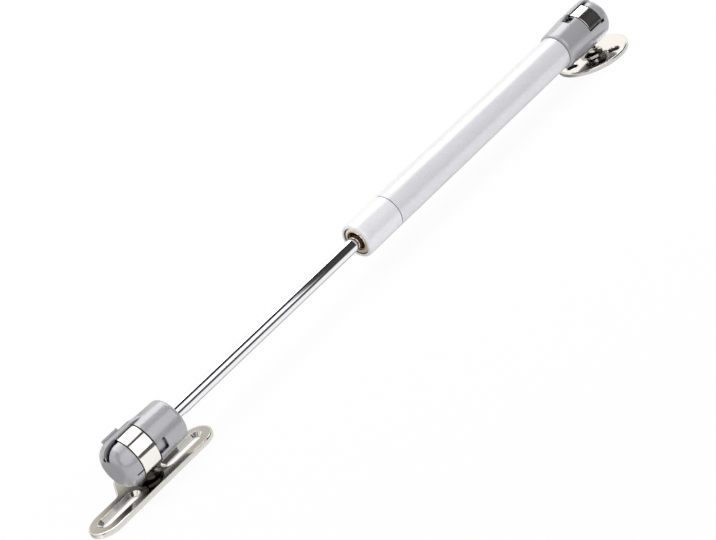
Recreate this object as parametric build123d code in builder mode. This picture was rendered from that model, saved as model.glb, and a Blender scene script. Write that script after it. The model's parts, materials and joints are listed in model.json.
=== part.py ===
# Gas spring stay: a gas strut with a plastic ball socket at each end. One ball stud stands on a round
# screw plate, the other on a plate with two long slots.
# The rod lies along +X, the plates lie flat on Z = 0 and the studs stand up along +Z.
# The origin is the centre of the round plate's underside. Drawn with the rod fully out.

import os
from math import degrees, sqrt

from build123d import *

os.makedirs("parts", exist_ok=True)

# Reach
stroke = 100.0  # how far the rod goes in
rod_reserve = 13.9  # bare rod left between the mouth and the socket, rod fully in
cushion_space = 3.5  # between the piston's end and the tube's rear bead, rod fully in

# Running and assembly clearances
running_gap = 0.04  # radial, a piece that slides or turns in another
ball_gap = 0.08  # radial, ball in its cup
thread_gap = 0.05  # radial, thread in its tapped hole
seat_gap = 0.05  # between pieces that are stacked in one bore
o_ring_gap = 0.02  # radial, on both sides of the O-ring
butt_gap = 0.2  # open joint between two sleeves, or a sleeve and a socket
cut_margin = 1.0  # how far a cutting shape reaches past the piece

# Plates
plate_thickness = 2.0
plate_edge_round = 0.7
round_plate_diameter = 34.6
round_plate_hole = 5.2
round_plate_hole_margin = 5.6  # hole centre to the plate's rim
round_plate_hole_count = 3
round_plate_hole_start = -17.0  # degrees from +X
round_plate_hole_bevel = 0.45
slotted_plate_width = 16.2
slot_width = 4.6
slot_length = 18.4
slot_web = 8.4  # plate's centre to the near end of a slot
slot_end_margin = 5.2  # far end of a slot to the plate's end
slot_bevel = 1.5  # depth and reach of the 90 degree countersink
lobe_hole = 4.6
lobe_hole_reach = 12.8  # plate's centre to the lobe's screw hole
lobe_hole_bevel = 1.2
lobe_margin = 5.8  # rim of that hole to the lobe's edge
lobe_foot = 12.2  # half the lobe's length where it leaves the strip
lobe_foot_round = 3.0

# Ball studs
ball_diameter = 10.0
ball_lift = 13.2  # ball centre above the plate's top face
ball_flat_diameter = 4.0
neck_thin_diameter = 5.2  # under the ball
neck_diameter = 6.2
neck_length = 3.0  # straight stretch above the flare
flange_diameter = 11.0
flange_thickness = 0.6
flare_height = 2.2  # neck down to the flange's rim
shank_diameter = 6.0
rivet_diameter = 8.4
rivet_thickness = 0.9
rivet_inset = 0.15  # rivet head above the plate's underside
rivet_gap = 0.2  # radial, rivet head in its counterbore

# Ball sockets
socket_diameter = 19.8  # at the clip
rod_socket_end_diameter = 18.9  # where it meets the rod
cylinder_socket_end_diameter = 18.2  # where it meets the sleeve
socket_barrel = 20.5  # ball centre to the end that meets the rod or the sleeve
socket_tip = 11.6  # ball centre to the closed end
socket_end_round = 1.7
socket_tip_round = 4.9
mouth_grip = 0.15  # the socket's mouth is this much tighter than the ball, radially
mouth_flare_width = 1.45
mouth_flare_depth = 2.8
thread_diameter = 5.0
thread_length = 11.0
thread_run_out = 1.0  # tapped hole beyond the thread's end

# Spring clips round the sockets
clip_width = 8.6
clip_thickness = 0.95
clip_proud = 0.05  # above the socket's skin
clip_side_gap = 0.48  # between the clip and each wall of its groove
clip_back_gap = 0.05  # between the clip and the groove's floor
clip_short_end = 80.5  # degrees from the top, on the side with the socket's own wall
clip_long_end = 146.0  # degrees from the top, on the open side
clip_end_gap = 5.0  # degrees of groove past each end of the clip
clip_edge_round = 0.22

# Bridge over the clip at the top of a socket, and the slits beside it
bridge_half_angle = 7.0  # degrees
rod_bridge_rise = 1.1  # above the socket's skin
cylinder_bridge_rise = 0.6
bridge_clip_gap = 0.12
bridge_root = 4.6  # length on the barrel beyond the clip's groove
bridge_foot = 2.0  # how far the bridge reaches under the groove's floor
slit_width = 1.9
slit_depth = 5.2

# Hook over the clip, on the far side of the rod's head
hook_angle = -29.5  # degrees from the top, at its middle
hook_half_angle = 4.5
hook_reach = 1.1  # past the ball's centre, away from the tip
hook_root = 1.8  # length on the tip beyond the clip's groove
hook_rise = 1.5  # above the socket's skin

# Recesses round a clip
pry_length = 4.6
pry_width = 5.2
pry_depth = 1.7
pry_angle = 97.0  # degrees from the top
pry_round = 0.6
tip_notch_length = 3.2
tip_notch_width = 0.6
tip_notch_angle = 109.0  # degrees from the top
wedge_width = 1.3
pocket_length = 5.0
pocket_width = 4.4
pocket_depth = 2.2
pocket_round = 0.8

# Sleeves
sleeve_wall = 0.95
sleeve_clearance = 0.05  # radial, over the pressure tube
front_sleeve_length = 21.5
mouth_overlap = 0.5  # how far the front sleeve's lip covers the tube's end
mouth_reach = 0.3  # the lip's face beyond the tube's end
mouth_round = 1.2
mouth_inner_round = 0.25
seam_round = 0.35

# Pressure tube
tube_diameter = 14.0
tube_wall = 1.0
tube_inset = 1.3  # rear end of the long sleeve to the tube
roll_bend = 1.0  # inside radius of a rolled edge
roll_lip = 0.4  # flat of a rolled edge beyond its bend
bead_depth = 0.8
bead_radius = 0.9

# Rod guide and seal
guide_length = 10.5
guide_rim = 0.4  # ring of the guide that shows inside the rolled edge
guide_recess_depth = 2.3
seal_length = 3.2
seal_lip = 1.1
seal_lip_wall = 0.66
seal_washer_thickness = 1.0
seal_washer_gap = 0.4  # radial, round the rod

# End plug
plug_length = 9.0
plug_boss_gap = 0.2  # radial, in the tube's rear opening
o_ring_section = 1.06
o_ring_groove_width = 1.5

# Rod and piston
rod_diameter = 6.0
rod_end_chamfer = 0.5
tenon_diameter = 4.0  # rod end that carries the piston
tenon_head_width = 1.2  # riveted head beyond the tenon, radially
tenon_head_thickness = 1.0
stop_washer_gap = 0.4  # radial, in the pressure tube
stop_washer_thickness = 1.0
piston_gap = 0.25  # radial, in the pressure tube
piston_length = 7.0
piston_ring_width = 2.0
piston_ring_section = 1.25
piston_port = 1.0
piston_port_count = 3
back_washer_width = 2.2  # beyond the tenon, radially
back_washer_thickness = 0.9
piston_stop_gap = 0.3  # stop washer to the tube's front bead, rod fully out

# Radii that follow from the sizes
ball_radius = ball_diameter / 2
cup_radius = ball_radius + ball_gap
socket_radius = socket_diameter / 2
clip_outer = socket_radius + clip_proud
clip_inner = clip_outer - clip_thickness
groove_floor = clip_inner - clip_back_gap
groove_half = clip_width / 2 + clip_side_gap
tube_radius = tube_diameter / 2
bore_radius = tube_radius - tube_wall
bore_seat = bore_radius - seat_gap
roll_outer = roll_bend + tube_wall
roll_opening = tube_radius - roll_outer - roll_lip
sleeve_bore = tube_radius + sleeve_clearance
sleeve_radius = sleeve_bore + sleeve_wall
rod_radius = rod_diameter / 2
rod_bore = rod_radius + running_gap
thread_radius = thread_diameter / 2
tenon_radius = tenon_diameter / 2
tenon_bore = tenon_radius + running_gap
ring_outer = bore_radius - running_gap
ring_inner = ring_outer - piston_ring_section
ring_seat = ring_inner - running_gap
o_ring_middle = bore_radius - o_ring_gap - o_ring_section / 2

# Places along the rod's axis, from the cylinder's ball to the rod's ball
sleeve_start = socket_barrel + butt_gap
tube_back = sleeve_start + tube_inset
plug_back = tube_back + tube_wall + seat_gap
plug_front = plug_back + plug_length
o_ring_x = (plug_back + plug_front) / 2
rear_bead_x = plug_front + seat_gap + bead_radius
tenon_head_back = rear_bead_x + bead_radius + cushion_space + stroke
tenon_head_front = tenon_head_back + tenon_head_thickness
piston_back = tenon_head_front + back_washer_thickness
piston_front = piston_back + piston_length
ring_x = (piston_back + piston_front) / 2
stop_washer_front = piston_front + stop_washer_thickness
front_bead_x = stop_washer_front + piston_stop_gap + bead_radius
seal_washer_back = front_bead_x + bead_radius + seat_gap
seal_washer_front = seal_washer_back + seal_washer_thickness
seal_back = seal_washer_front + seat_gap
seal_front = seal_back + seal_length
guide_back = seal_front + seat_gap
guide_front = guide_back + guide_length
tube_front = guide_front + seat_gap + tube_wall
mouth_x = tube_front + mouth_reach
seam_x = mouth_x - front_sleeve_length
rod_shoulder = mouth_x + stroke + rod_reserve
ball_spacing = rod_shoulder + socket_barrel

# The rod's axis, the plane that half sections are drawn on, and the two heads with their tips outwards
axis_height = plate_thickness + ball_lift
rod_axis = Axis((0, 0, axis_height), (1, 0, 0))
section_plane = Plane((0, 0, axis_height), x_dir=(1, 0, 0), z_dir=(0, -1, 0))
rod_head = Location((ball_spacing, 0, axis_height))
cylinder_head = Location((0, 0, axis_height), (0, 0, 180))


# Corner points as (x, radius) pairs, closed into a face and turned round the rod's axis
def turned(points):
    with BuildPart() as piece:
        with BuildSketch(section_plane):
            with BuildLine():
                Polyline(*points, close=True)
            make_face()
        revolve(axis=rod_axis)
    return piece.part


# A straight tube round the rod's axis from one X to another
def tube(start, end, outer, inner):
    return turned([(start, inner), (end, inner), (end, outer), (start, outer)])


# A wedge of space round the X axis of a head, between two angles counted from the top towards +Y
def sector(start, end, angle_from, angle_to, outer, inner=0.0):
    with BuildPart() as piece:
        with BuildSketch(Plane.XZ):
            with Locations(((start + end) / 2, (outer + inner) / 2)):
                Rectangle(end - start, outer - inner)
        revolve(axis=Axis((0, 0, 0), (-1, 0, 0)), revolution_arc=angle_to - angle_from)
    return piece.part.rotate(Axis.X, -angle_from)


# A plane under a head's skin at an angle from the top towards +Y, facing outwards
def skin_plane(angle, depth):
    return Plane.XY.rotated((-angle, 0, 0)).offset(socket_radius - depth)


# A head turned about X, tip towards +X, with its skin pushed out by a rise
def head_form(end_diameter, rise=0.0):
    end_radius = end_diameter / 2 + rise
    skin = socket_radius + rise
    tip = socket_tip + rise
    tip_round = socket_tip_round + rise
    bend = socket_end_round
    with BuildPart() as piece:
        with BuildSketch(Plane.XZ):
            with BuildLine():
                Line((-socket_barrel, 0), (-socket_barrel, end_radius - bend))
                RadiusArc((-socket_barrel, end_radius - bend), (-socket_barrel + bend, end_radius), bend)
                Line((-socket_barrel + bend, end_radius), (-groove_half, skin))
                Line((-groove_half, skin), (tip - tip_round, skin))
                RadiusArc((tip - tip_round, skin), (tip, skin - tip_round), tip_round)
                Line((tip, skin - tip_round), (tip, 0))
                Line((tip, 0), (-socket_barrel, 0))
            make_face()
        revolve(axis=Axis.X)
    return piece.part


# The bridge that holds the clip down at the top of a head. It slopes into the barrel over its root.
def clip_bridge(end_diameter, rise):
    barrel_run = socket_barrel - socket_end_round - groove_half
    slope_drop = rise * barrel_run / bridge_root
    with BuildPart() as piece:
        add(head_form(end_diameter - 2 * slope_drop, rise))
        add(
            sector(-groove_half - bridge_root - cut_margin, socket_tip + rise, -bridge_half_angle,
                   bridge_half_angle, clip_outer + rise + cut_margin, groove_floor - bridge_foot),
            mode=Mode.INTERSECT,
        )
        add(
            sector(-groove_half, groove_half, -2 * bridge_half_angle, 2 * bridge_half_angle,
                   clip_outer + bridge_clip_gap),
            mode=Mode.SUBTRACT,
        )
    return piece.part


# The hook beside the bridge, rooted in the tip
def clip_hook():
    hook_from = hook_angle - hook_half_angle
    hook_to = hook_angle + hook_half_angle
    with BuildPart() as piece:
        add(
            sector(-hook_reach, groove_half + hook_root, hook_from, hook_to,
                   socket_radius + hook_rise, groove_floor)
        )
        add(
            sector(-groove_half, groove_half, hook_from - hook_half_angle, hook_to + hook_half_angle,
                   clip_outer + bridge_clip_gap),
            mode=Mode.SUBTRACT,
        )
    return piece.part


# The space for the ball and its stud: the cup, the way in and its flared rim
def ball_space():
    mouth = ball_radius - mouth_grip
    with BuildPart() as piece:
        Sphere(cup_radius)
        with BuildSketch(Plane.XY):
            Circle(mouth)
        extrude(amount=-socket_radius - cut_margin)
        with BuildSketch(Plane.XY.offset(mouth_flare_depth - socket_radius)):
            Circle(mouth)
        with BuildSketch(Plane.XY.offset(-socket_radius)):
            Circle(mouth + mouth_flare_width)
        loft()
    return piece.part


# Slits through the tip, one each side of the bridge
def tip_slits():
    slit_angle = bridge_half_angle + degrees(slit_width / 2 / socket_radius)
    slit_length = socket_tip + cut_margin - groove_half
    with BuildPart() as piece:
        for angle in (-slit_angle, slit_angle):
            with BuildSketch(skin_plane(angle, slit_depth)):
                with Locations((groove_half + slit_length / 2, 0)):
                    Rectangle(slit_length, slit_width)
            extrude(amount=slit_depth + rod_bridge_rise + cut_margin)
    return piece.part


# Recesses round the clip: for a screwdriver on the open side, a short notch in the tip below it, and a
# wider gap at the tip end of the clip's short end
def clip_recesses():
    with BuildPart() as piece:
        with BuildSketch(skin_plane(pry_angle, pry_depth)):
            with Locations((-groove_half - pry_length / 2, 0)):
                RectangleRounded(pry_length, pry_width, pry_round)
        extrude(amount=pry_depth + cut_margin)
        with BuildSketch(skin_plane(tip_notch_angle, pry_depth)):
            with Locations((groove_half + tip_notch_length / 2, 0)):
                Rectangle(tip_notch_length, tip_notch_width)
        extrude(amount=pry_depth + cut_margin)
        wedge_depth = socket_radius - groove_floor
        with BuildSketch(skin_plane(-clip_short_end - clip_end_gap, wedge_depth)):
            with Locations((groove_half, 0)):
                Rectangle(2 * wedge_width, wedge_width)
        extrude(amount=wedge_depth + cut_margin)
    return piece.part


# A ball socket about its ball centre, tip towards +X and mouth towards -Z
def ball_socket(end_diameter, bridge_rise):
    with BuildPart() as piece:
        add(head_form(end_diameter))
        # Groove for the clip, closed at the bottom by the socket's own wall on one side
        add(
            sector(-groove_half, groove_half, -clip_short_end - clip_end_gap,
                   clip_long_end + clip_end_gap, socket_radius + cut_margin, groove_floor),
            mode=Mode.SUBTRACT,
        )
        add(clip_bridge(end_diameter, bridge_rise))
        add(tip_slits(), mode=Mode.SUBTRACT)
        add(ball_space(), mode=Mode.SUBTRACT)
        add(clip_recesses(), mode=Mode.SUBTRACT)
        # Tapped hole, drawn plain at the thread's outside
        with BuildSketch(Plane.YZ.offset(-socket_barrel)):
            Circle(thread_radius + thread_gap)
        extrude(amount=thread_length + thread_run_out, mode=Mode.SUBTRACT)
    return piece.part


# A moulding pocket beside the bridge, in the same place on the head
def top_pocket():
    with BuildPart() as piece:
        with BuildSketch(skin_plane(0, pocket_depth)):
            with Locations((-groove_half - pocket_length / 2, -pocket_width / 2)):
                RectangleRounded(pocket_length, pocket_width, pocket_round)
        extrude(amount=pocket_depth + cylinder_bridge_rise + cut_margin)
    return piece.part


# A spring clip about the same centre
def spring_clip():
    with BuildPart() as piece:
        add(sector(-clip_width / 2, clip_width / 2, -clip_short_end, clip_long_end,
                   clip_outer, clip_inner))
        outer_edges = piece.edges().filter_by(GeomType.CIRCLE).group_by(SortBy.RADIUS)[-1]
        fillet(outer_edges, clip_edge_round)
    return piece.part


# A ball stud on its own axis, with the plate's underside at Z = 0
def ball_stud():
    thin = neck_thin_diameter / 2
    neck = neck_diameter / 2
    flat = ball_flat_diameter / 2
    flange = flange_diameter / 2
    shank = shank_diameter / 2
    rivet = rivet_diameter / 2
    top = axis_height + sqrt(ball_radius**2 - flat**2)
    thin_z = axis_height - sqrt(ball_radius**2 - thin**2)
    rim_z = plate_thickness + flange_thickness
    flare_z = rim_z + flare_height
    neck_z = flare_z + neck_length
    rivet_top = rivet_inset + rivet_thickness
    with BuildPart() as piece:
        with BuildSketch(Plane.XZ):
            with BuildLine():
                Line((0, top), (flat, top))
                ThreePointArc((flat, top), (ball_radius, axis_height), (thin, thin_z))
                Polyline((thin, thin_z), (neck, neck_z), (neck, flare_z))
                EllipticalCenterArc((flange, flare_z), flange - neck, flare_height, 180, arc_size=90)
                Polyline((flange, rim_z), (flange, plate_thickness), (shank, plate_thickness),
                         (shank, rivet_top), (rivet, rivet_top), (rivet, rivet_inset),
                         (0, rivet_inset), (0, top))
            make_face()
        revolve(axis=Axis.Z)
    return piece.part


# The space for a stud in a plate: its hole, and the rivet's counterbore on the underside
def stud_seat():
    with BuildPart() as piece:
        with BuildSketch(Plane.XY):
            Circle(shank_diameter / 2 + running_gap)
        extrude(amount=plate_thickness)
        with BuildSketch(Plane.XY):
            Circle(rivet_diameter / 2 + rivet_gap)
        extrude(amount=rivet_inset + rivet_thickness + seat_gap)
    return piece.part


# Round plate
with BuildPart() as round_plate:
    with BuildSketch(Plane.XY):
        Circle(round_plate_diameter / 2)
    extrude(amount=plate_thickness)
    fillet(round_plate.edges().group_by(Axis.Z)[-1], plate_edge_round)
    add(stud_seat(), mode=Mode.SUBTRACT)
    hole_circle_radius = round_plate_diameter / 2 - round_plate_hole_margin
    with BuildSketch(Plane.XY):
        with PolarLocations(hole_circle_radius, round_plate_hole_count, start_angle=round_plate_hole_start):
            Circle(round_plate_hole / 2)
    extrude(amount=plate_thickness, mode=Mode.SUBTRACT)
    with BuildSketch(Plane.XY.offset(plate_thickness)):
        with PolarLocations(hole_circle_radius, round_plate_hole_count, start_angle=round_plate_hole_start):
            Circle(round_plate_hole / 2 + round_plate_hole_bevel)
    extrude(amount=-round_plate_hole_bevel, taper=45, mode=Mode.SUBTRACT)

# Slotted plate: a strip with a slot each side of the stud, and a lobe with a third screw hole
with BuildPart() as slotted_plate:
    under = Plane((ball_spacing, 0, 0))
    slot_places = GridLocations(2 * slot_web + slot_length, 0, 2, 1)
    lobe_place = Locations((0, -lobe_hole_reach))
    with BuildSketch(under, mode=Mode.PRIVATE) as lobe:
        with lobe_place:
            Circle(lobe_hole / 2 + lobe_margin)
        Rectangle(2 * lobe_foot, slotted_plate_width)
        make_hull()
    with BuildSketch(under) as outline:
        SlotOverall(2 * (slot_web + slot_length + slot_end_margin), slotted_plate_width)
        add(lobe.sketch_local)
        strip_edge = outline.vertices().filter_by(
            lambda corner: abs(corner.Y + slotted_plate_width / 2) < cut_margin / 10
        )
        fillet(strip_edge.sort_by(lambda corner: abs(corner.X))[:2], lobe_foot_round)
    extrude(amount=plate_thickness)
    fillet(slotted_plate.edges().group_by(Axis.Z)[-1], plate_edge_round)
    with Locations(under):
        add(stud_seat(), mode=Mode.SUBTRACT)
    with BuildSketch(under):
        with slot_places:
            SlotOverall(slot_length, slot_width)
        with lobe_place:
            Circle(lobe_hole / 2)
    extrude(amount=plate_thickness, mode=Mode.SUBTRACT)
    with BuildSketch(under.offset(plate_thickness)):
        with slot_places:
            SlotOverall(slot_length + 2 * slot_bevel, slot_width + 2 * slot_bevel)
    extrude(amount=-slot_bevel, taper=45, mode=Mode.SUBTRACT)
    with BuildSketch(under.offset(plate_thickness)):
        with lobe_place:
            Circle(lobe_hole / 2 + lobe_hole_bevel)
    extrude(amount=-lobe_hole_bevel, taper=45, mode=Mode.SUBTRACT)

# Ball studs
with BuildPart() as cylinder_ball_stud:
    add(ball_stud())
with BuildPart() as rod_ball_stud:
    with Locations((ball_spacing, 0, 0)):
        add(ball_stud())

# Sockets and their clips
with BuildPart() as rod_socket:
    with Locations(rod_head):
        add(ball_socket(rod_socket_end_diameter, rod_bridge_rise))
        add(clip_hook())
with BuildPart() as rod_clip:
    with Locations(rod_head):
        add(spring_clip())
with BuildPart() as cylinder_socket:
    with Locations(cylinder_head):
        add(ball_socket(cylinder_socket_end_diameter, cylinder_bridge_rise))
        add(top_pocket(), mode=Mode.SUBTRACT)
with BuildPart() as cylinder_clip:
    with Locations(cylinder_head):
        add(spring_clip())

# Long sleeve over the pressure tube
with BuildPart() as outer_sleeve:
    add(tube(sleeve_start, seam_x, sleeve_radius, sleeve_bore))
    rims = outer_sleeve.edges().filter_by(GeomType.CIRCLE).group_by(SortBy.RADIUS)[-1]
    fillet(rims.sort_by(Axis.X)[-1], seam_round)

# Short front sleeve with a rounded lip round its mouth
with BuildPart() as front_sleeve:
    mouth_radius = tube_radius - mouth_overlap
    corner_rise = mouth_radius - (tube_radius - roll_outer)
    lip_back = tube_front - roll_outer + sqrt(roll_outer**2 - corner_rise**2) + seat_gap
    add(
        turned([
            (seam_x + butt_gap, sleeve_bore), (lip_back, sleeve_bore), (lip_back, mouth_radius),
            (mouth_x, mouth_radius), (mouth_x, sleeve_radius), (seam_x + butt_gap, sleeve_radius),
        ])
    )
    front_rims = front_sleeve.edges().filter_by(GeomType.CIRCLE).group_by(Axis.X)[-1]
    fillet(front_rims.sort_by(SortBy.RADIUS)[-1], mouth_round)
    front_rims = front_sleeve.edges().filter_by(GeomType.CIRCLE).group_by(Axis.X)[-1]
    fillet(front_rims.sort_by(SortBy.RADIUS)[0], mouth_inner_round)
    outer_rims = front_sleeve.edges().filter_by(GeomType.CIRCLE).group_by(SortBy.RADIUS)[-1]
    fillet(outer_rims.sort_by(Axis.X)[0], seam_round)

# Pressure tube: both edges rolled inwards, with a bead behind the seal and one before the plug
with BuildPart() as gas_tube:
    back_in = tube_back + tube_wall
    front_in = tube_front - tube_wall
    with BuildSketch(section_plane):
        with BuildLine():
            Line((tube_back + roll_outer, tube_radius), (tube_front - roll_outer, tube_radius))
            RadiusArc((tube_front - roll_outer, tube_radius), (tube_front, tube_radius - roll_outer),
                      roll_outer)
            Polyline((tube_front, tube_radius - roll_outer), (tube_front, roll_opening),
                     (front_in, roll_opening), (front_in, bore_radius - roll_bend))
            RadiusArc((front_in, bore_radius - roll_bend), (front_in - roll_bend, bore_radius), -roll_bend)
            Line((front_in - roll_bend, bore_radius), (back_in + roll_bend, bore_radius))
            RadiusArc((back_in + roll_bend, bore_radius), (back_in, bore_radius - roll_bend), -roll_bend)
            Polyline((back_in, bore_radius - roll_bend), (back_in, roll_opening),
                     (tube_back, roll_opening), (tube_back, tube_radius - roll_outer))
            RadiusArc((tube_back, tube_radius - roll_outer), (tube_back + roll_outer, tube_radius),
                      roll_outer)
        make_face()
    revolve(axis=rod_axis)
    bead_rise = bead_radius - bead_depth
    for bead_x in (front_bead_x, rear_bead_x):
        with BuildSketch(section_plane):
            with Locations((bead_x, bore_radius + bead_rise)):
                Circle(bead_radius)
        revolve(axis=rod_axis)
        with BuildSketch(section_plane):
            with Locations((bead_x, tube_radius + bead_rise)):
                Circle(bead_radius)
        revolve(axis=rod_axis, mode=Mode.SUBTRACT)

# Rod guide, with an open recess round the rod at its front
with BuildPart() as rod_guide:
    recess_radius = roll_opening - guide_rim
    recess_back = guide_front - guide_recess_depth
    add(
        turned([
            (guide_back, rod_bore), (recess_back, rod_bore), (recess_back, recess_radius),
            (guide_front, recess_radius), (guide_front, bore_seat - roll_bend),
            (guide_front - roll_bend, bore_seat), (guide_back, bore_seat),
        ])
    )

# Lip seal, open towards the gas
with BuildPart() as rod_seal:
    groove_in = rod_bore + seal_lip_wall
    groove_out = bore_seat - seal_lip_wall
    add(
        turned([
            (seal_front, rod_bore), (seal_front, bore_seat), (seal_back, bore_seat),
            (seal_back, groove_out), (seal_back + seal_lip, (groove_in + groove_out) / 2),
            (seal_back, groove_in), (seal_back, rod_bore),
        ])
    )

# Support washer behind the seal
with BuildPart() as seal_washer:
    add(tube(seal_washer_back, seal_washer_front, bore_seat, rod_radius + seal_washer_gap))

# End plug with its boss and the thread for the socket
with BuildPart() as end_plug:
    groove_radius = o_ring_middle - o_ring_section / 2 - o_ring_gap
    groove_back = o_ring_x - o_ring_groove_width / 2
    groove_front = o_ring_x + o_ring_groove_width / 2
    boss = roll_opening - plug_boss_gap
    thread_end = socket_barrel - thread_length
    add(
        turned([
            (thread_end, 0), (thread_end, thread_radius), (socket_barrel, thread_radius),
            (socket_barrel, boss), (plug_back, boss), (plug_back, bore_seat - roll_bend),
            (plug_back + roll_bend, bore_seat), (groove_back, bore_seat), (groove_back, groove_radius),
            (groove_front, groove_radius), (groove_front, bore_seat), (plug_front, bore_seat),
            (plug_front, 0),
        ])
    )

with BuildPart() as plug_o_ring:
    with BuildSketch(section_plane):
        with Locations((o_ring_x, o_ring_middle)):
            Circle(o_ring_section / 2)
    revolve(axis=rod_axis)

# Piston rod: threaded end in the socket, tenon and riveted head at the piston
with BuildPart() as piston_rod:
    tenon_head = tenon_radius + tenon_head_width
    rod_end = rod_shoulder + thread_length
    add(
        turned([
            (tenon_head_back, 0), (tenon_head_back, tenon_head), (tenon_head_front, tenon_head),
            (tenon_head_front, tenon_radius), (stop_washer_front, tenon_radius),
            (stop_washer_front, rod_radius), (rod_shoulder, rod_radius), (rod_shoulder, thread_radius),
            (rod_end - rod_end_chamfer, thread_radius), (rod_end, thread_radius - rod_end_chamfer),
            (rod_end, 0),
        ])
    )

# Piston with its ring groove and gas ports, between two washers
with BuildPart() as piston:
    piston_radius = bore_radius - piston_gap
    ring_side = piston_ring_width / 2 + running_gap
    add(
        turned([
            (piston_back, tenon_bore), (piston_back, piston_radius), (ring_x - ring_side, piston_radius),
            (ring_x - ring_side, ring_seat), (ring_x + ring_side, ring_seat),
            (ring_x + ring_side, piston_radius), (piston_front, piston_radius),
            (piston_front, tenon_bore),
        ])
    )
    with BuildSketch(Plane((piston_back, 0, axis_height), x_dir=(0, 1, 0), z_dir=(1, 0, 0))):
        with PolarLocations((tenon_bore + ring_seat) / 2, piston_port_count):
            Circle(piston_port / 2)
    extrude(amount=piston_length, mode=Mode.SUBTRACT)

with BuildPart() as piston_ring:
    add(tube(ring_x - piston_ring_width / 2, ring_x + piston_ring_width / 2, ring_outer, ring_inner))

with BuildPart() as stop_washer:
    add(tube(piston_front, stop_washer_front, bore_radius - stop_washer_gap, tenon_bore))

with BuildPart() as back_washer:
    add(tube(tenon_head_front, piston_back, tenon_radius + back_washer_width, tenon_bore))

pieces = {
    "round_plate": round_plate,
    "cylinder_ball_stud": cylinder_ball_stud,
    "slotted_plate": slotted_plate,
    "rod_ball_stud": rod_ball_stud,
    "cylinder_socket": cylinder_socket,
    "cylinder_clip": cylinder_clip,
    "rod_socket": rod_socket,
    "rod_clip": rod_clip,
    "outer_sleeve": outer_sleeve,
    "front_sleeve": front_sleeve,
    "gas_tube": gas_tube,
    "end_plug": end_plug,
    "plug_o_ring": plug_o_ring,
    "rod_guide": rod_guide,
    "rod_seal": rod_seal,
    "seal_washer": seal_washer,
    "piston_rod": piston_rod,
    "piston": piston,
    "piston_ring": piston_ring,
    "stop_washer": stop_washer,
    "back_washer": back_washer,
}
for label, piece in pieces.items():
    piece.part.label = label
    export_step(piece.part, f"parts/{label}.step")
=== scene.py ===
# Gas spring stay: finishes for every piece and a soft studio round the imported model
import json
from math import cos, pi, radians, sin, tan

import bpy
from mathutils import Matrix, Vector


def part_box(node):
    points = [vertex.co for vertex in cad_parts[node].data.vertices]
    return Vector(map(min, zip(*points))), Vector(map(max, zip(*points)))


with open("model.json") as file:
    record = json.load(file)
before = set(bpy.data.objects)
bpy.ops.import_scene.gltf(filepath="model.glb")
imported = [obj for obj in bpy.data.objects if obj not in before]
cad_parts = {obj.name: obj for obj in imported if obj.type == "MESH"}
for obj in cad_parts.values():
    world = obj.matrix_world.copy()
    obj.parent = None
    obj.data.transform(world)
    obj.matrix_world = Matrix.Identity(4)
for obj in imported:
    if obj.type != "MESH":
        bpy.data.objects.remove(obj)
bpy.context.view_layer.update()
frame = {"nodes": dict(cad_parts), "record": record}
nodes = frame["nodes"]
print("frame loaded:", len(nodes), "nodes")


# A shader socket that takes part in plain arithmetic
class Signal:
    def __init__(self, sheet, socket):
        self.sheet = sheet
        self.socket = socket

    def maths(self, operation, first, second=0.0):
        return self.sheet.node("ShaderNodeMath", {"operation": operation}, {0: first, 1: second})

    def __add__(self, other):
        return self.maths("ADD", self, other)

    def __radd__(self, other):
        return self.maths("ADD", other, self)

    def __sub__(self, other):
        return self.maths("SUBTRACT", self, other)

    def __rsub__(self, other):
        return self.maths("SUBTRACT", other, self)

    def __mul__(self, other):
        return self.maths("MULTIPLY", self, other)

    def __rmul__(self, other):
        return self.maths("MULTIPLY", other, self)

    def __gt__(self, other):
        return self.maths("GREATER_THAN", self, other)

    def __lt__(self, other):
        return self.maths("LESS_THAN", self, other)

    def __abs__(self):
        return self.maths("ABSOLUTE", self)

    def capped(self):
        return self.maths("MINIMUM", self, 1.0)

    def rising(self, start, end):  # smoothly from 0 at start to 1 at end
        return self.sheet.node("ShaderNodeMapRange", {"interpolation_type": "SMOOTHSTEP"},
                               {"Value": self, "From Min": start, "From Max": end})

    def ramp(self, stops):
        return self.sheet.node("ShaderNodeValToRGB", {"stops": stops}, {"Fac": self})


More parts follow.
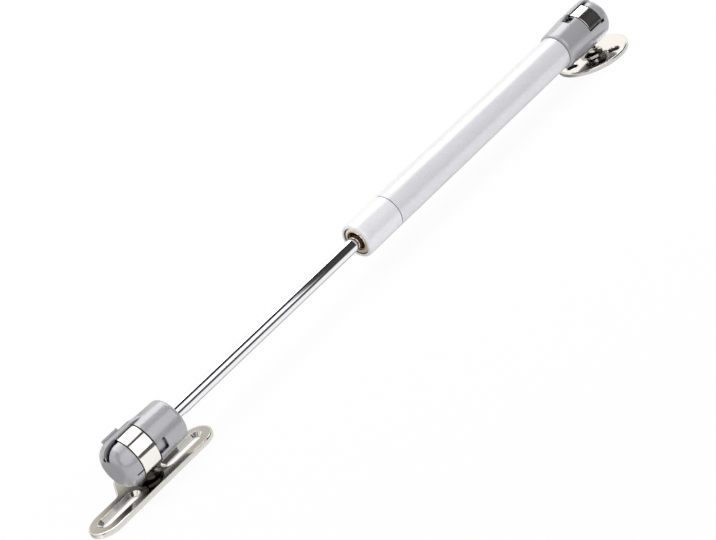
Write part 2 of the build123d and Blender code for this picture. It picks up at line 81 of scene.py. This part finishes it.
# A node tree that is written one call at a time
class Sheet:
    def __init__(self, tree):
        self.tree = tree
        tree.nodes.clear()

    def node(self, kind, settings=None, sockets=None, output=0):
        made = self.tree.nodes.new(kind)
        for name, value in (settings or {}).items():
            if name == "stops":
                self.layStops(made.color_ramp, value)
            else:
                setattr(made, name, value)
        for key, value in (sockets or {}).items():
            if isinstance(value, Signal):
                self.tree.links.new(made.inputs[key], value.socket)
            else:
                made.inputs[key].default_value = value
        return Signal(self, made.outputs[output]) if len(made.outputs) else made

    def layStops(self, ramp, stops):
        for element, (place, colour) in zip(ramp.elements, (stops[0], stops[-1])):
            element.position = place
            element.color = rgba(colour)
        for place, colour in stops[1:-1]:
            ramp.elements.new(place).color = rgba(colour)

    def outputs(self, kind, names, sockets=None):
        made = self.node(kind, None, sockets).socket.node
        return [Signal(self, made.outputs[name]) for name in names]

    def split(self, vector):
        return self.outputs("ShaderNodeSeparateXYZ", ("X", "Y", "Z"), {"Vector": vector})

    def mix(self, factor, first, second):
        return self.node("ShaderNodeMix", {"data_type": "RGBA"},
                         {0: factor, 6: rgba(first), 7: rgba(second)}, output=2)

    def place(self):
        return self.node("ShaderNodeTexCoord", output="Object")

    def stretched(self, scale):
        return self.node("ShaderNodeMapping", None, {"Vector": self.place(), "Scale": scale})

    def noise(self, scale, detail=2.0, where=None):
        return self.node("ShaderNodeTexNoise", None,
                         {"Vector": where or self.place(), "Scale": scale, "Detail": detail},
                         output="Fac")

    def openness(self, reach, start, end):  # 0 deep in a recess, 1 on an open surface
        clear = self.node("ShaderNodeAmbientOcclusion", {"samples": 8}, {"Distance": reach}, output="AO")
        return clear.rising(start, end)

    def bump(self, height, distance, edge):  # edge is the radius that breaks a sharp corner
        broken = self.node("ShaderNodeBevel", {"samples": 6}, {"Radius": edge})
        return self.node("ShaderNodeBump", None, {"Height": height, "Distance": distance, "Normal": broken})


def rgba(colour):
    return colour if isinstance(colour, Signal) else (*colour, 1.0)


# A named finish: its dressing gives the sockets of the surface
def finish(name, dress):
    material = bpy.data.materials.new(name)
    material.use_nodes = True
    sheet = Sheet(material.node_tree)
    surface = sheet.node("ShaderNodeBsdfPrincipled", None, dress(sheet), output="BSDF")
    sheet.node("ShaderNodeOutputMaterial", None, {"Surface": surface})
    return material


# White lacquer on the sleeves, satin, with a trace of pearl, a fine spark and orange peel. The short front
# sleeve is a shade brighter.
lacquers = {
    "whiteLacquer": {"colour": (0.84, 0.84, 0.865), "shade": (0.735, 0.735, 0.775)},
    "brightLacquer": {"colour": (0.92, 0.92, 0.945), "shade": (0.82, 0.82, 0.86)},
}
coating = {"roughness": 0.30, "patchy": 0.10, "pearl": 0.12, "specular": 0.7, "coat": 0.25,
           "coatRoughness": 0.15, "cloud": 240, "cloudStretch": (0.35, 1.0, 1.0),
           "spark": 1300, "sparkFrom": 0.38, "sparkTo": 0.62, "sparkShare": 0.45,
           "peel": 1500, "peelDepth": 0.00001, "edge": 0.00012,
           "recess": 0.0009, "recessFrom": 0.35, "recessTo": 0.90, "recessColour": (0.09, 0.09, 0.095)}


def dressLacquer(tints):
    def dress(sheet):
        cloud = sheet.noise(coating["cloud"], detail=3.0, where=sheet.stretched(coating["cloudStretch"]))
        spark = sheet.noise(coating["spark"], detail=1.0).rising(coating["sparkFrom"], coating["sparkTo"])
        # Painted shade: in recesses of the lacquer the colour goes towards the dark grey painted recess shade
        outOfPaintedShade = sheet.openness(coating["recess"], coating["recessFrom"], coating["recessTo"])
        blend = coating["sparkShare"] * spark + (1.0 - coating["sparkShare"]) * cloud
        coat = sheet.mix(blend, tints["shade"], tints["colour"])
        return {
            "Base Color": sheet.mix(outOfPaintedShade, coating["recessColour"], coat),
            "Metallic": coating["pearl"],
            "Roughness": coating["roughness"] + coating["patchy"] * (cloud - 0.5),
            "Specular IOR Level": coating["specular"],
            "Coat Weight": coating["coat"],
            "Coat Roughness": coating["coatRoughness"],
            "Normal": sheet.bump(sheet.noise(coating["peel"]), coating["peelDepth"], coating["edge"]),
        }
    return dress


# Grey moulded plastic of the sockets, pearly, with flow marks and a fine grain. Recesses are painted almost
# black as shade, and what lies close over the plates gets a painted shadow.
plastic = {"colour": (0.49, 0.49, 0.512), "shade": (0.405, 0.405, 0.425), "roughness": 0.23,
           "patchy": 0.12, "pearl": 0.22, "specular": 0.9, "flow": 110, "flowStretch": (0.5, 1.0, 1.0),
           "grain": 3200, "grainDepth": 0.000010, "edge": 0.00030,
           "recess": 0.0026, "recessFrom": 0.36, "recessTo": 0.82, "recessColour": (0.020, 0.020, 0.019),
           "shadowReach": 0.009, "shadowFrom": 0.05, "shadowTo": 0.60, "shadowColour": (0.13, 0.13, 0.13)}


def dressPlastic(sheet):
    flow = sheet.noise(plastic["flow"], detail=3.0, where=sheet.stretched(plastic["flowStretch"]))
    grain = sheet.noise(plastic["grain"])
    # Painted shade: recesses within reach go towards the near black painted recess shade
    outOfPaintedShade = sheet.openness(plastic["recess"], plastic["recessFrom"], plastic["recessTo"])
    clear = sheet.openness(plastic["shadowReach"], plastic["shadowFrom"], plastic["shadowTo"])
    moulded = sheet.mix(flow, plastic["shade"], plastic["colour"])
    # Painted shadow: surfaces close over the plates go towards the shadow colour
    moulded = sheet.mix(clear, plastic["shadowColour"], moulded)
    return {
        "Base Color": sheet.mix(outOfPaintedShade, plastic["recessColour"], moulded),
        "Metallic": 1.0 - (1.0 - plastic["pearl"]) * outOfPaintedShade,
        "Roughness": plastic["roughness"] + plastic["patchy"] * (flow - 0.5),
        "Specular IOR Level": plastic["specular"],
        "Normal": sheet.bump(grain, plastic["grainDepth"], plastic["edge"]),
    }


# Where the walls of holes and slots are on the two plates, as masks on X and Y: anywhere inside the disc's
# rim, along the strip's middle and round the hole in its lobe
plateHoles = {"rimMargin": 0.001, "slotHalf": 0.0045, "lobeReach": -0.0128, "lobeRadius": 0.0036}


def discHoles(across, along):
    low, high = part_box("round_plate")
    rim = (high.x - low.x) / 2 - plateHoles["rimMargin"]
    return (across * across + along * along) < rim * rim


def stripHoles(across, along):
    low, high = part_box("rod_ball_stud")
    sideways = across - (low.x + high.x) / 2
    lobeways = along - plateHoles["lobeReach"]
    inLobe = (sideways * sideways + lobeways * lobeways) < plateHoles["lobeRadius"] ** 2
    return ((abs(along) < plateHoles["slotHalf"]) + inLobe).capped()


# Metal: one recipe for the plated and the turned pieces. The sheared walls of the plates have their own
# colour;
# hole walls get painted shading (shade on the disc, light on the strip), and clip recesses painted shade.
everyMetal = {"recessFrom": 0.25, "recessTo": 0.80, "wallTilt": 0.2, "edge": 0.0001}


def dressMetal(dials):
    def dress(sheet):
        smear = sheet.noise(dials["smear"], detail=3.0)
        lines = sheet.noise(dials["lineScale"], where=sheet.stretched(dials["lineStretch"]))
        colour = sheet.mix(smear, dials["shade"], dials["colour"])
        roughness = dials["roughness"] + dials["patchy"] * (smear - 0.5)
        if "recess" in dials:
            # Painted shade: recesses of the clips go towards the dark painted recess shade
            outOfPaintedShade = sheet.openness(dials["recess"], everyMetal["recessFrom"], everyMetal["recessTo"])
            colour = sheet.mix(outOfPaintedShade, dials["recessColour"], colour)
        if "wallColour" in dials:
            upward = sheet.split(sheet.node("ShaderNodeNewGeometry", output="Normal"))[2]
            wall = abs(upward) < everyMetal["wallTilt"]
            colour = sheet.mix(wall, colour, dials["wallColour"])
            # Painted light and shade: hole walls take near black shade on the disc and near white light on
            # the strip
            inside = wall * dials["holes"](*sheet.split(sheet.place())[:2])
            colour = sheet.mix(inside, colour, dials["paintedHoleShading"])
            roughness = roughness + wall * dials["wallRough"]
        return {
            "Base Color": colour,
            "Metallic": 1.0,
            "Roughness": roughness,
            "Normal": sheet.bump(lines, dials["lineDepth"], dials.get("edge", everyMetal["edge"])),
        }
    return dress


metals = {
    "clipNickel": {"colour": (0.95, 0.93, 0.89), "shade": (0.90, 0.87, 0.82), "roughness": 0.10,
                   "patchy": 0.06, "smear": 300, "lineScale": 900, "lineStretch": (4.0, 0.3, 0.3),
                   "lineDepth": 0.000002, "recess": 0.0012, "recessColour": (0.02, 0.018, 0.015)},
    "discNickel": {"colour": (0.77, 0.76, 0.74), "shade": (0.69, 0.67, 0.645), "roughness": 0.10,
                   "patchy": 0.08, "smear": 160, "lineScale": 700, "lineStretch": (0.3, 3.0, 1.0),
                   "lineDepth": 0.000002, "edge": 0.00018, "wallColour": (0.62, 0.61, 0.58),
                   "wallRough": 0.12, "holes": discHoles, "paintedHoleShading": (0.03, 0.025, 0.02)},
    "stripNickel": {"colour": (0.72, 0.70, 0.66), "shade": (0.62, 0.60, 0.55), "roughness": 0.12,
                    "patchy": 0.08, "smear": 160, "lineScale": 700, "lineStretch": (0.3, 3.0, 1.0),
                    "lineDepth": 0.000002, "edge": 0.00018, "wallColour": (0.70, 0.69, 0.66),
                    "wallRough": 0.12, "holes": stripHoles, "paintedHoleShading": (0.95, 0.94, 0.92)},
    "studNickel": {"colour": (0.62, 0.60, 0.57), "shade": (0.40, 0.38, 0.35), "roughness": 0.08,
                   "patchy": 0.05, "smear": 350, "lineScale": 900, "lineStretch": (0.2, 0.2, 4.0),
                   "lineDepth": 0.000002},
    # Painted shade: the rod end's stud is near black so that the slotted plate mirrors a dark mass under the
    # socket
    "paintedShadeStud": {"colour": (0.07, 0.06, 0.05), "shade": (0.04, 0.032, 0.026), "roughness": 0.20,
                   "patchy": 0.10, "smear": 350, "lineScale": 900, "lineStretch": (0.2, 0.2, 4.0),
                   "lineDepth": 0.000002},
    "rodChrome": {"colour": (0.90, 0.90, 0.92), "shade": (0.86, 0.86, 0.88), "roughness": 0.05,
                  "patchy": 0.03, "smear": 200, "lineScale": 1600, "lineStretch": (3.0, 0.3, 0.3),
                  "lineDepth": 0.000001},
    "tubeSteel": {"colour": (0.86, 0.79, 0.66), "shade": (0.74, 0.66, 0.52), "roughness": 0.26,
                  "patchy": 0.12, "smear": 260, "lineScale": 1200, "lineStretch": (3.0, 0.3, 0.3),
                  "lineDepth": 0.000004, "edge": 0.0002},
    "guideBronze": {"colour": (0.34, 0.22, 0.12), "shade": (0.20, 0.12, 0.07), "roughness": 0.45,
                    "patchy": 0.20, "smear": 900, "lineScale": 1800, "lineStretch": (1.0, 1.0, 1.0),
                    "lineDepth": 0.00001},
    "turnedSteel": {"colour": (0.62, 0.62, 0.62), "shade": (0.50, 0.50, 0.51), "roughness": 0.28,
                    "patchy": 0.12, "smear": 400, "lineScale": 1300, "lineStretch": (4.0, 0.3, 0.3),
                    "lineDepth": 0.000006},
    "stampedSteel": {"colour": (0.60, 0.60, 0.59), "shade": (0.48, 0.48, 0.48), "roughness": 0.33,
                     "patchy": 0.15, "smear": 500, "lineScale": 1100, "lineStretch": (1.0, 1.0, 1.0),
                     "lineDepth": 0.000005},
    "pistonAlloy": {"colour": (0.72, 0.72, 0.73), "shade": (0.62, 0.62, 0.64), "roughness": 0.24,
                    "patchy": 0.10, "smear": 400, "lineScale": 1500, "lineStretch": (4.0, 0.3, 0.3),
                    "lineDepth": 0.000006},
}

# Black rubber of the seals
rubber = {"colour": (0.03, 0.03, 0.03), "shade": (0.012, 0.012, 0.012), "roughness": 0.55, "patchy": 0.2,
          "dust": 700, "grain": 2600, "grainDepth": 0.00001, "edge": 0.0001}


def dressRubber(sheet):
    dust = sheet.noise(rubber["dust"], detail=3.0)
    return {
        "Base Color": sheet.mix(dust, rubber["shade"], rubber["colour"]),
        "Roughness": rubber["roughness"] + rubber["patchy"] * (dust - 0.5),
        "Normal": sheet.bump(sheet.noise(rubber["grain"]), rubber["grainDepth"], rubber["edge"]),
    }


# Cream low-friction plastic of the piston ring
ringPlastic = {"colour": (0.68, 0.65, 0.58), "shade": (0.60, 0.57, 0.50), "roughness": 0.42,
               "patchy": 0.1, "cloud": 500, "grain": 2200, "grainDepth": 0.000006, "edge": 0.0001}


def dressRing(sheet):
    cloud = sheet.noise(ringPlastic["cloud"], detail=3.0)
    return {
        "Base Color": sheet.mix(cloud, ringPlastic["shade"], ringPlastic["colour"]),
        "Roughness": ringPlastic["roughness"] + ringPlastic["patchy"] * (cloud - 0.5),
        "Normal": sheet.bump(sheet.noise(ringPlastic["grain"]), ringPlastic["grainDepth"],
                             ringPlastic["edge"]),
    }


finishes = {name: finish(name, dressMetal(dials)) for name, dials in metals.items()}
finishes.update({name: finish(name, dressLacquer(tints)) for name, tints in lacquers.items()})
finishes["greyPlastic"] = finish("greyPlastic", dressPlastic)
finishes["sealRubber"] = finish("sealRubber", dressRubber)
finishes["ringPlastic"] = finish("ringPlastic", dressRing)
print("finishes made:", len(finishes))

finishOfSlot = {
    "sleeve_white": "whiteLacquer", "socket_grey": "greyPlastic", "clip_steel": "clipNickel",
    "plate_steel": "stripNickel", "stud_steel": "studNickel", "rod_chrome": "rodChrome",
    "tube_steel": "tubeSteel", "guide_bronze": "guideBronze", "seal_rubber": "sealRubber",
    "plug_steel": "turnedSteel", "washer_steel": "stampedSteel", "piston_metal": "pistonAlloy",
    "ring_plastic": "ringPlastic",
}
# The rod end's stud takes the near black finish that paints shade under its socket
finishOfNode = {"round_plate": "discNickel", "rod_ball_stud": "paintedShadeStud", "front_sleeve": "brightLacquer"}
slotOfNode = {part["node"]: part["material_slot"] for part in frame["record"]["subparts"]}
for name, piece in nodes.items():
    piece.data.materials.clear()
    piece.data.materials.append(finishes[finishOfNode.get(name, finishOfSlot[slotOfNode[name]])])
print("nodes dressed")


# Camera at the photograph's viewing angle
camera = {"place": (0.5716, 0.5891, 0.3366), "forward": (-0.50962, -0.74974, -0.42211),
          "roll": 27.843, "focalPixels": 1900, "imageWidth": 716, "sensor": 36.0, "clipEnd": 20.0}
eye = bpy.data.objects.new("camera", bpy.data.cameras.new("camera"))
bpy.context.collection.objects.link(eye)
forward = Vector(camera["forward"]).normalized()
level = forward.cross(Vector((0, 0, 1))).normalized()
upright = level.cross(forward)
roll = radians(camera["roll"])
up = cos(roll) * upright + sin(roll) * level
right = cos(roll) * level - sin(roll) * upright
eye.matrix_world = Matrix.Translation(camera["place"]) @ Matrix((right, up, -forward)).transposed().to_4x4()
eye.data.sensor_width = camera["sensor"]
eye.data.lens = camera["focalPixels"] / camera["imageWidth"] * camera["sensor"]
eye.data.clip_end = camera["clipEnd"]
bpy.context.scene.camera = eye
bpy.context.scene.view_settings.view_transform = "Standard"

# Studio: a pale floor and a softbox overhead, with cards, strips and a flag that only mirrors see. Angles are
# seen from the rod's axis, counted from straight up towards +Y.
studio = {
    "floorHalf": 3.0, "floorDrop": 0.0003, "floorSeen": (0.92, 0.92, 0.92),
    "floorBounce": (0.79, 0.79, 0.79), "floorGlow": 0.92,
    "softboxHeight": 1.0, "softboxBack": -40.0, "softboxFront": 7.0, "softboxMiddle": -0.3,
    "softboxLength": 1.8, "softboxRadiance": 1.5,
}

# What bright metal mirrors. Paper: its front edge, moved on in front of the clip, and the painted shadow
# below
paper = {"edgeFrom": 0.032, "edgeTo": 0.074, "clipFrom": 0.262, "clipTo": 0.275, "clipShift": 0.072,
         "dimMiddle": -0.024, "dimFrom": 0.020, "dimTo": 0.030, "paintedShadow": (0.35, 0.35, 0.35),
         "shade": (1, 1, 1), "endShade": (0.03, 0.03, 0.03)}

# Card: the angles of its edges for the rod and for the clip, and the curve along which it fades out
card = {"distance": 0.5, "rodTop": 30.0, "clipTop": 29.5, "rodBottom": 77.0, "clipBottom": 86.0,
        "left": -0.72, "right": 1.6, "topStep": (-0.20, -0.185), "bottomStep": (0.070, 0.085),
        "slant": 0.35, "fadeFrom": -0.105, "fadeTo": -0.065, "faded": 0.05, "glow": 1.25}

# Overhead strips beside the softbox's front edge: a bright one for the clip, a black one for the rod
wing = {"left": -0.135, "right": 0.6, "from": 7.0, "to": 19.5}
gobo = {"left": -0.46, "right": -0.125, "from": -7.0, "to": 7.0, "below": 0.01, "glow": 0.02}

# Black flag behind the rod's head, which the slotted plate mirrors
flag = {"behind": -0.06, "left": 0.252, "right": 0.303, "fade": 0.014, "low": 0.031, "high": 0.052,
        "glow": 0.02}

# The room: a wall behind, given by height, a dark half in front, and the fill for matt surfaces
room = {
    "wall": [(0.0, (0.30, 0.29, 0.28)), (0.05, (0.40, 0.39, 0.38)), (0.14, (1.0, 0.97, 0.94)),
             (0.40, (1.0, 0.96, 0.92)), (0.44, (0.48, 0.46, 0.43)), (0.50, (0.48, 0.46, 0.43)),
             (0.60, (1.0, 1.0, 1.0)), (1.0, (1.0, 1.0, 1.0))],
    "wallGain": 1.3, "front": (0.03, 0.03, 0.03), "frontFrom": -0.02, "frontTo": 0.02,
    "backFill": (0.58, 0.58, 0.58), "frontFill": (1.26, 1.26, 1.26), "fillFrom": 0.3, "fillTo": 1.0,
    "seen": (1.0, 1.0, 1.0),
}


# A flat sheet of the studio from its corners
def studioSheet(name, corners, material):
    mesh = bpy.data.meshes.new(name)
    mesh.from_pydata(corners, [], [tuple(range(len(corners)))])
    mesh.materials.append(material)
    sheet = bpy.data.objects.new(name, mesh)
    bpy.context.collection.objects.link(sheet)
    return sheet


def studioMaterial(name, write):
    material = bpy.data.materials.new(name)
    material.use_nodes = True
    sheet = Sheet(material.node_tree)
    sheet.node("ShaderNodeOutputMaterial", None, {"Surface": write(sheet)})
    return material


def emission(sheet, grey):
    return sheet.node("ShaderNodeEmission", None, {"Color": rgba((1, 1, 1)), "Strength": grey})


# The floor glows for the camera, mirrors and glass, keeps the shadow, and bounces less light upwards.
# In mirrors the paper ends a little in front of the object, and carries a painted shadow right under it.
def writeFloor(sheet):
    seen, mirrored, through = sheet.outputs("ShaderNodeLightPath",
                                            ("Is Camera Ray", "Is Glossy Ray", "Is Transmission Ray"))
    shown = (seen + mirrored + through).capped()
    matt = sheet.node("ShaderNodeBsdfDiffuse", None,
                      {"Color": sheet.mix(shown, studio["floorBounce"], studio["floorSeen"])})
    across, along = sheet.split(sheet.place())[:2]
    shift = across.rising(paper["clipFrom"], paper["clipTo"]) * paper["clipShift"]
    beyond = (along - shift).rising(paper["edgeFrom"], paper["edgeTo"])
    # Painted shadow: in mirrors the paper goes dim in a band under the object
    away = abs(along - paper["dimMiddle"]).rising(paper["dimFrom"], paper["dimTo"])
    colour = sheet.mix((1.0 - away) * mirrored, paper["shade"], paper["paintedShadow"])
    colour = sheet.mix(beyond * mirrored, colour, paper["endShade"])
    glow = sheet.node("ShaderNodeEmission", None, {"Color": colour, "Strength": 1.0})
    return sheet.node("ShaderNodeMixShader", None, {0: studio["floorGlow"] * shown, 1: matt, 2: glow})


# The card fades out towards the cylinder's end
def writeCard(sheet):
    across, _, height = sheet.split(sheet.place())
    lit = (across + card["slant"] * height * height).rising(card["fadeFrom"], card["fadeTo"])
    return sheet.node("ShaderNodeMixShader", None,
                      {0: lit, 1: emission(sheet, card["faded"]), 2: emission(sheet, card["glow"])})


def writeWing(sheet):
    return emission(sheet, studio["softboxRadiance"])


def writeGobo(sheet):
    return emission(sheet, gobo["glow"])


# The flag fades out sideways
def writeFlag(sheet):
    across = sheet.split(sheet.place())[0]
    inFrom = across.rising(flag["left"], flag["left"] + flag["fade"])
    outFrom = across.rising(flag["right"] - flag["fade"], flag["right"])
    clear = sheet.node("ShaderNodeBsdfTransparent")
    return sheet.node("ShaderNodeMixShader", None,
                      {0: inFrom - outFrom, 1: clear, 2: emission(sheet, flag["glow"])})


half = studio["floorHalf"]
drop = -studio["floorDrop"]
studioSheet("floor", [(-half, -half, drop), (half, -half, drop), (half, half, drop), (-half, half, drop)],
            studioMaterial("floorPaper", writeFloor))

rodLow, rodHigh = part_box("piston_rod")
axisHeight = (rodLow.z + rodHigh.z) / 2
reach = card["distance"]


def cardHeight(angle):
    return axisHeight + reach / tan(radians(angle))


rodTop, clipTop = cardHeight(card["rodTop"]), cardHeight(card["clipTop"])
rodFoot, clipFoot = cardHeight(card["rodBottom"]), cardHeight(card["clipBottom"])
cardCorners = [(card["left"], reach, rodFoot), (card["bottomStep"][0], reach, rodFoot),
               (card["bottomStep"][1], reach, clipFoot), (card["right"], reach, clipFoot),
               (card["right"], reach, clipTop), (card["topStep"][1], reach, clipTop),
               (card["topStep"][0], reach, rodTop), (card["left"], reach, rodTop)]
flagCorners = [(flag["left"], flag["behind"], flag["low"]), (flag["right"], flag["behind"], flag["low"]),
               (flag["right"], flag["behind"], flag["high"]), (flag["left"], flag["behind"], flag["high"])]

rise = studio["softboxHeight"] - axisHeight
backEdge = rise * tan(radians(studio["softboxBack"]))
frontEdge = rise * tan(radians(studio["softboxFront"]))
lamp = bpy.data.lights.new("softbox", "AREA")
lamp.shape = "RECTANGLE"
lamp.size = studio["softboxLength"]
lamp.size_y = frontEdge - backEdge
lamp.energy = studio["softboxRadiance"] * pi * lamp.size * lamp.size_y
softbox = bpy.data.objects.new("softbox", lamp)
bpy.context.collection.objects.link(softbox)
softbox.location = (studio["softboxMiddle"], (frontEdge + backEdge) / 2, studio["softboxHeight"])


# A level strip overhead between two angles
def overhead(strip, height):
    near = rise * tan(radians(strip["from"]))
    far = rise * tan(radians(strip["to"]))
    return [(strip["left"], near, height), (strip["right"], near, height), (strip["right"], far, height),
            (strip["left"], far, height)]


wingCorners = overhead(wing, studio["softboxHeight"])
goboCorners = overhead(gobo, studio["softboxHeight"] - gobo["below"])
mirroredSheets = (
    studioSheet("frontCard", cardCorners, studioMaterial("cardPaper", writeCard)),
    studioSheet("blackFlag", flagCorners, studioMaterial("flagCloth", writeFlag)),
    studioSheet("softboxWing", wingCorners, studioMaterial("wingCloth", writeWing)),
    studioSheet("rodGobo", goboCorners, studioMaterial("goboCloth", writeGobo)),
)
for sheet in mirroredSheets:
    sheet.visible_camera = sheet.visible_diffuse = sheet.visible_shadow = sheet.visible_transmission = False

# The world: white for the camera, for matt surfaces a fill that is fuller in front, and for mirrors a dark
# front half and a back wall that goes from a dim foot over cream paper to warm grey
world = bpy.data.worlds.new("studio")
bpy.context.scene.world = world
world.use_nodes = True
sky = Sheet(world.node_tree)
seen, mirrored = sky.outputs("ShaderNodeLightPath", ("Is Camera Ray", "Is Glossy Ray"))
across, upwards = sky.split(sky.node("ShaderNodeTexCoord", output="Generated"))[1:]
backWall = upwards.ramp(room["wall"])
mirroredRoom = sky.mix(across.rising(room["frontFrom"], room["frontTo"]), backWall, room["front"])
fill = sky.mix(across.rising(room["fillFrom"], room["fillTo"]), room["backFill"], room["frontFill"])
colour = sky.mix(seen, sky.mix(mirrored, fill, mirroredRoom), room["seen"])
strength = 1.0 + (room["wallGain"] - 1.0) * mirrored
background = sky.node("ShaderNodeBackground", None, {"Color": colour, "Strength": strength})
sky.node("ShaderNodeOutputWorld", None, {"Surface": background})
print("studio and camera set")
